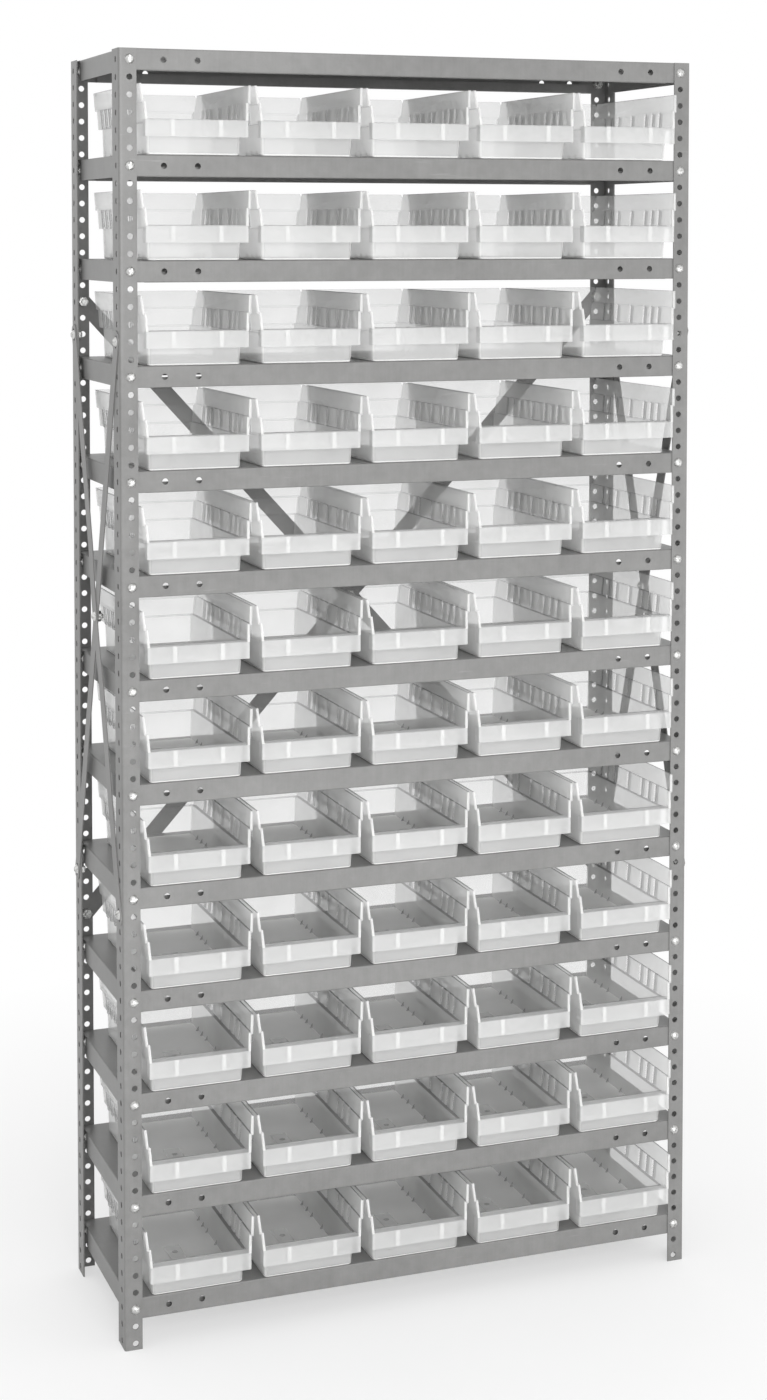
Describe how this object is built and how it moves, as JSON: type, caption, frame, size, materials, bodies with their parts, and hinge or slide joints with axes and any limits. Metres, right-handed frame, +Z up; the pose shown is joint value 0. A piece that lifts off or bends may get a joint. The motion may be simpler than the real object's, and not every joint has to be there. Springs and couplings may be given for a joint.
{
  "type": "shelving unit",
  "caption": "Free-standing bolted steel shelving unit with perforated angle posts, crossed braces and rows of clear frosted hopper-front parts bins that slide off its shelves.",
  "frame": {"origin": "on the floor, under the middle of the unit's overall reach, bin fronts and brace bolts included", "axes": "+Z up, +Y from the open front to the braced back, +X to the right seen from the front"},
  "size_m": [0.9304, 0.3305, 1.905],
  "materials": {
    "grey_enamel": "satin baked enamel on sheet steel",
    "zinc_plate": "bright zinc plate",
    "frosted_plastic": "translucent natural polypropylene, satin"
  },
  "bodies": {
    "frame": {"post_front_left": "grey_enamel", "post_front_right": "grey_enamel", "post_rear_left": "grey_enamel", "post_rear_right": "grey_enamel", "shelf_01": "grey_enamel", "shelf_02": "grey_enamel", "shelf_03": "grey_enamel", "shelf_04": "grey_enamel", "shelf_05": "grey_enamel", "shelf_06": "grey_enamel", "shelf_07": "grey_enamel", "shelf_08": "grey_enamel", "shelf_09": "grey_enamel", "shelf_10": "grey_enamel", "shelf_11": "grey_enamel", "shelf_12": "grey_enamel", "shelf_13": "grey_enamel", "brace_left": "grey_enamel", "brace_right": "grey_enamel", "brace_back": "grey_enamel", "shelf_bolts": "zinc_plate", "shelf_nuts": "zinc_plate", "brace_bolts": "zinc_plate", "brace_nuts": "zinc_plate"},
    "bin_row_01": {"bin_row_01": "frosted_plastic"},
    "bin_row_02": {"bin_row_02": "frosted_plastic"},
    "bin_row_03": {"bin_row_03": "frosted_plastic"},
    "bin_row_04": {"bin_row_04": "frosted_plastic"},
    "bin_row_05": {"bin_row_05": "frosted_plastic"},
    "bin_row_06": {"bin_row_06": "frosted_plastic"},
    "bin_07_1": {"bin_07_1": "frosted_plastic"},
    "bin_07_2": {"bin_07_2": "frosted_plastic"},
    "bin_07_3": {"bin_07_3": "frosted_plastic"},
    "bin_07_4": {"bin_07_4": "frosted_plastic"},
    "bin_07_5": {"bin_07_5": "frosted_plastic"},
    "bin_08_1": {"bin_08_1": "frosted_plastic"},
    "bin_08_2": {"bin_08_2": "frosted_plastic"},
    "bin_08_3": {"bin_08_3": "frosted_plastic"},
    "bin_08_4": {"bin_08_4": "frosted_plastic"},
    "bin_08_5": {"bin_08_5": "frosted_plastic"},
    "bin_09_1": {"bin_09_1": "frosted_plastic"},
    "bin_09_2": {"bin_09_2": "frosted_plastic"},
    "bin_09_3": {"bin_09_3": "frosted_plastic"},
    "bin_09_4": {"bin_09_4": "frosted_plastic"},
    "bin_09_5": {"bin_09_5": "frosted_plastic"},
    "bin_10_1": {"bin_10_1": "frosted_plastic"},
    "bin_10_2": {"bin_10_2": "frosted_plastic"},
    "bin_10_3": {"bin_10_3": "frosted_plastic"},
    "bin_10_4": {"bin_10_4": "frosted_plastic"},
    "bin_10_5": {"bin_10_5": "frosted_plastic"},
    "bin_11_1": {"bin_11_1": "frosted_plastic"},
    "bin_11_2": {"bin_11_2": "frosted_plastic"},
    "bin_11_3": {"bin_11_3": "frosted_plastic"},
    "bin_11_4": {"bin_11_4": "frosted_plastic"},
    "bin_11_5": {"bin_11_5": "frosted_plastic"},
    "bin_12_1": {"bin_12_1": "frosted_plastic"},
    "bin_12_2": {"bin_12_2": "frosted_plastic"},
    "bin_12_3": {"bin_12_3": "frosted_plastic"},
    "bin_12_4": {"bin_12_4": "frosted_plastic"},
    "bin_12_5": {"bin_12_5": "frosted_plastic"}
  },
  "joints": [
    {"name": "bin_row_01_slide", "type": "slide", "parent": "frame", "child": "bin_row_01", "axis": [0, -1, 0], "range_m": [0, 0.28]},
    {"name": "bin_row_02_slide", "type": "slide", "parent": "frame", "child": "bin_row_02", "axis": [0, -1, 0], "range_m": [0, 0.28]},
    {"name": "bin_row_03_slide", "type": "slide", "parent": "frame", "child": "bin_row_03", "axis": [0, -1, 0], "range_m": [0, 0.28]},
    {"name": "bin_row_04_slide", "type": "slide", "parent": "frame", "child": "bin_row_04", "axis": [0, -1, 0], "range_m": [0, 0.28]},
    {"name": "bin_row_05_slide", "type": "slide", "parent": "frame", "child": "bin_row_05", "axis": [0, -1, 0], "range_m": [0, 0.28]},
    {"name": "bin_row_06_slide", "type": "slide", "parent": "frame", "child": "bin_row_06", "axis": [0, -1, 0], "range_m": [0, 0.28]},
    {"name": "bin_07_1_slide", "type": "slide", "parent": "frame", "child": "bin_07_1", "axis": [0, -1, 0], "range_m": [0, 0.28]},
    {"name": "bin_07_2_slide", "type": "slide", "parent": "frame", "child": "bin_07_2", "axis": [0, -1, 0], "range_m": [0, 0.28]},
    {"name": "bin_07_3_slide", "type": "slide", "parent": "frame", "child": "bin_07_3", "axis": [0, -1, 0], "range_m": [0, 0.28]},
    {"name": "bin_07_4_slide", "type": "slide", "parent": "frame", "child": "bin_07_4", "axis": [0, -1, 0], "range_m": [0, 0.28]},
    {"name": "bin_07_5_slide", "type": "slide", "parent": "frame", "child": "bin_07_5", "axis": [0, -1, 0], "range_m": [0, 0.28]},
    {"name": "bin_08_1_slide", "type": "slide", "parent": "frame", "child": "bin_08_1", "axis": [0, -1, 0], "range_m": [0, 0.28]},
    {"name": "bin_08_2_slide", "type": "slide", "parent": "frame", "child": "bin_08_2", "axis": [0, -1, 0], "range_m": [0, 0.28]},
    {"name": "bin_08_3_slide", "type": "slide", "parent": "frame", "child": "bin_08_3", "axis": [0, -1, 0], "range_m": [0, 0.28]},
    {"name": "bin_08_4_slide", "type": "slide", "parent": "frame", "child": "bin_08_4", "axis": [0, -1, 0], "range_m": [0, 0.28]},
    {"name": "bin_08_5_slide", "type": "slide", "parent": "frame", "child": "bin_08_5", "axis": [0, -1, 0], "range_m": [0, 0.28]},
    {"name": "bin_09_1_slide", "type": "slide", "parent": "frame", "child": "bin_09_1", "axis": [0, -1, 0], "range_m": [0, 0.28]},
    {"name": "bin_09_2_slide", "type": "slide", "parent": "frame", "child": "bin_09_2", "axis": [0, -1, 0], "range_m": [0, 0.28]},
    {"name": "bin_09_3_slide", "type": "slide", "parent": "frame", "child": "bin_09_3", "axis": [0, -1, 0], "range_m": [0, 0.28]},
    {"name": "bin_09_4_slide", "type": "slide", "parent": "frame", "child": "bin_09_4", "axis": [0, -1, 0], "range_m": [0, 0.28]},
    {"name": "bin_09_5_slide", "type": "slide", "parent": "frame", "child": "bin_09_5", "axis": [0, -1, 0], "range_m": [0, 0.28]},
    {"name": "bin_10_1_slide", "type": "slide", "parent": "frame", "child": "bin_10_1", "axis": [0, -1, 0], "range_m": [0, 0.28]},
    {"name": "bin_10_2_slide", "type": "slide", "parent": "frame", "child": "bin_10_2", "axis": [0, -1, 0], "range_m": [0, 0.28]},
    {"name": "bin_10_3_slide", "type": "slide", "parent": "frame", "child": "bin_10_3", "axis": [0, -1, 0], "range_m": [0, 0.28]},
    {"name": "bin_10_4_slide", "type": "slide", "parent": "frame", "child": "bin_10_4", "axis": [0, -1, 0], "range_m": [0, 0.28]},
    {"name": "bin_10_5_slide", "type": "slide", "parent": "frame", "child": "bin_10_5", "axis": [0, -1, 0], "range_m": [0, 0.28]},
    {"name": "bin_11_1_slide", "type": "slide", "parent": "frame", "child": "bin_11_1", "axis": [0, -1, 0], "range_m": [0, 0.28]},
    {"name": "bin_11_2_slide", "type": "slide", "parent": "frame", "child": "bin_11_2", "axis": [0, -1, 0], "range_m": [0, 0.28]},
    {"name": "bin_11_3_slide", "type": "slide", "parent": "frame", "child": "bin_11_3", "axis": [0, -1, 0], "range_m": [0, 0.28]},
    {"name": "bin_11_4_slide", "type": "slide", "parent": "frame", "child": "bin_11_4", "axis": [0, -1, 0], "range_m": [0, 0.28]},
    {"name": "bin_11_5_slide", "type": "slide", "parent": "frame", "child": "bin_11_5", "axis": [0, -1, 0], "range_m": [0, 0.28]},
    {"name": "bin_12_1_slide", "type": "slide", "parent": "frame", "child": "bin_12_1", "axis": [0, -1, 0], "range_m": [0, 0.28]},
    {"name": "bin_12_2_slide", "type": "slide", "parent": "frame", "child": "bin_12_2", "axis": [0, -1, 0], "range_m": [0, 0.28]},
    {"name": "bin_12_3_slide", "type": "slide", "parent": "frame", "child": "bin_12_3", "axis": [0, -1, 0], "range_m": [0, 0.28]},
    {"name": "bin_12_4_slide", "type": "slide", "parent": "frame", "child": "bin_12_4", "axis": [0, -1, 0], "range_m": [0, 0.28]},
    {"name": "bin_12_5_slide", "type": "slide", "parent": "frame", "child": "bin_12_5", "axis": [0, -1, 0], "range_m": [0, 0.28]}
  ]
}
